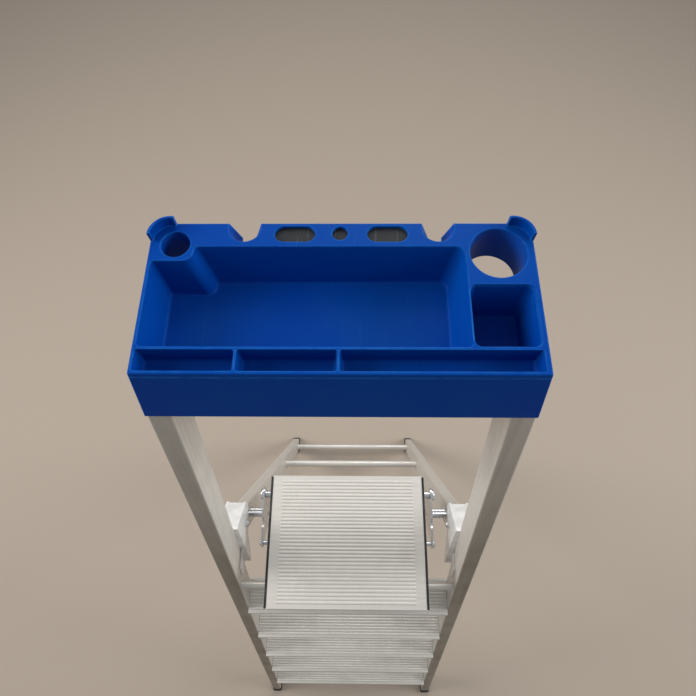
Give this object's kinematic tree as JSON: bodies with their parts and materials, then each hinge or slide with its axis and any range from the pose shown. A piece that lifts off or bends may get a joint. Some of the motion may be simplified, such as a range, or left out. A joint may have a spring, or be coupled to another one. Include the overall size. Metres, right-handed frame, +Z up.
{
  "type": "platform step ladder",
  "caption": "Folding aluminium platform step ladder with ribbed treads, a lift-up platform that locks the frames and a moulded blue tool tray on top.",
  "frame": {"origin": "on the floor, at the middle of the standing footprint", "axes": "+X across the ladder to the climber's right, +Y from the climbing side to the rear frame, +Z up"},
  "size_m": [0.6174, 1.0258, 2.032],
  "materials": {
    "tray_plastic": "satin-gloss moulded blue plastic, fine scratches on the pocket floors",
    "dark_plastic": "matt dark grey moulded strip",
    "edge_strip": "matt black strip",
    "foot_rubber": "matt black rubber with a ribbed sole",
    "cast_aluminium": "tumbled die casting, bright edges",
    "zinc_steel": "bright zinc-plated steel",
    "ribbed_aluminium": "mill-finish ribbed extrusion, scuffed by shoes",
    "stile_aluminium": "mill-finish extrusion with fine lines along its length"
  },
  "bodies": {
    "climbing_frame": {"climbing_stile_left": "stile_aluminium", "climbing_stile_right": "stile_aluminium", "front_foot_left": "foot_rubber", "front_foot_right": "foot_rubber", "hinge_casting_left": "cast_aluminium", "hinge_casting_right": "cast_aluminium", "pivot_bolt_left": "zinc_steel", "pivot_bolt_right": "zinc_steel", "pivot_nut_left": "zinc_steel", "pivot_nut_right": "zinc_steel", "pivot_washer_left": "zinc_steel", "pivot_washer_right": "zinc_steel", "platform_rest_rod": "stile_aluminium", "slot_backing_strip": "dark_plastic", "tool_tray": "tray_plastic", "top_crossbar": "stile_aluminium", "tread_1": "ribbed_aluminium", "tread_2": "ribbed_aluminium", "tread_3": "ribbed_aluminium", "tread_4": "ribbed_aluminium", "tread_5": "ribbed_aluminium", "tread_bracket_1_left": "ribbed_aluminium", "tread_bracket_1_right": "ribbed_aluminium", "tread_bracket_2_left": "ribbed_aluminium", "tread_bracket_2_right": "ribbed_aluminium", "tread_bracket_3_left": "ribbed_aluminium", "tread_bracket_3_right": "ribbed_aluminium", "tread_bracket_4_left": "ribbed_aluminium", "tread_bracket_4_right": "ribbed_aluminium", "tread_bracket_5_left": "ribbed_aluminium", "tread_bracket_5_right": "ribbed_aluminium"},
    "support_frame": {"platform_pin_left": "zinc_steel", "platform_pin_right": "zinc_steel", "rear_foot_left": "foot_rubber", "rear_foot_right": "foot_rubber", "side_bracket_left": "zinc_steel", "side_bracket_right": "zinc_steel", "stop_pin_left": "zinc_steel", "stop_pin_right": "zinc_steel", "support_brace_lower": "stile_aluminium", "support_brace_upper": "stile_aluminium", "support_stile_left": "stile_aluminium", "support_stile_right": "stile_aluminium"},
    "platform": {"platform_deck": "ribbed_aluminium", "platform_edge_strip_left": "edge_strip", "platform_edge_strip_right": "edge_strip", "platform_side_plate_left": "stile_aluminium", "platform_side_plate_right": "stile_aluminium"}
  },
  "joints": [
    {"name": "support_fold", "type": "hinge", "parent": "climbing_frame", "child": "support_frame", "pos_m": [0, -0.01479, 1.362], "axis": [-1, 0, 0], "range_deg": [0, 36]},
    {"name": "platform_lift", "type": "hinge", "parent": "support_frame", "child": "platform", "pos_m": [0, 0.04521, 1.355], "axis": [-1, 0, 0], "range_deg": [0, 70]}
  ]
}
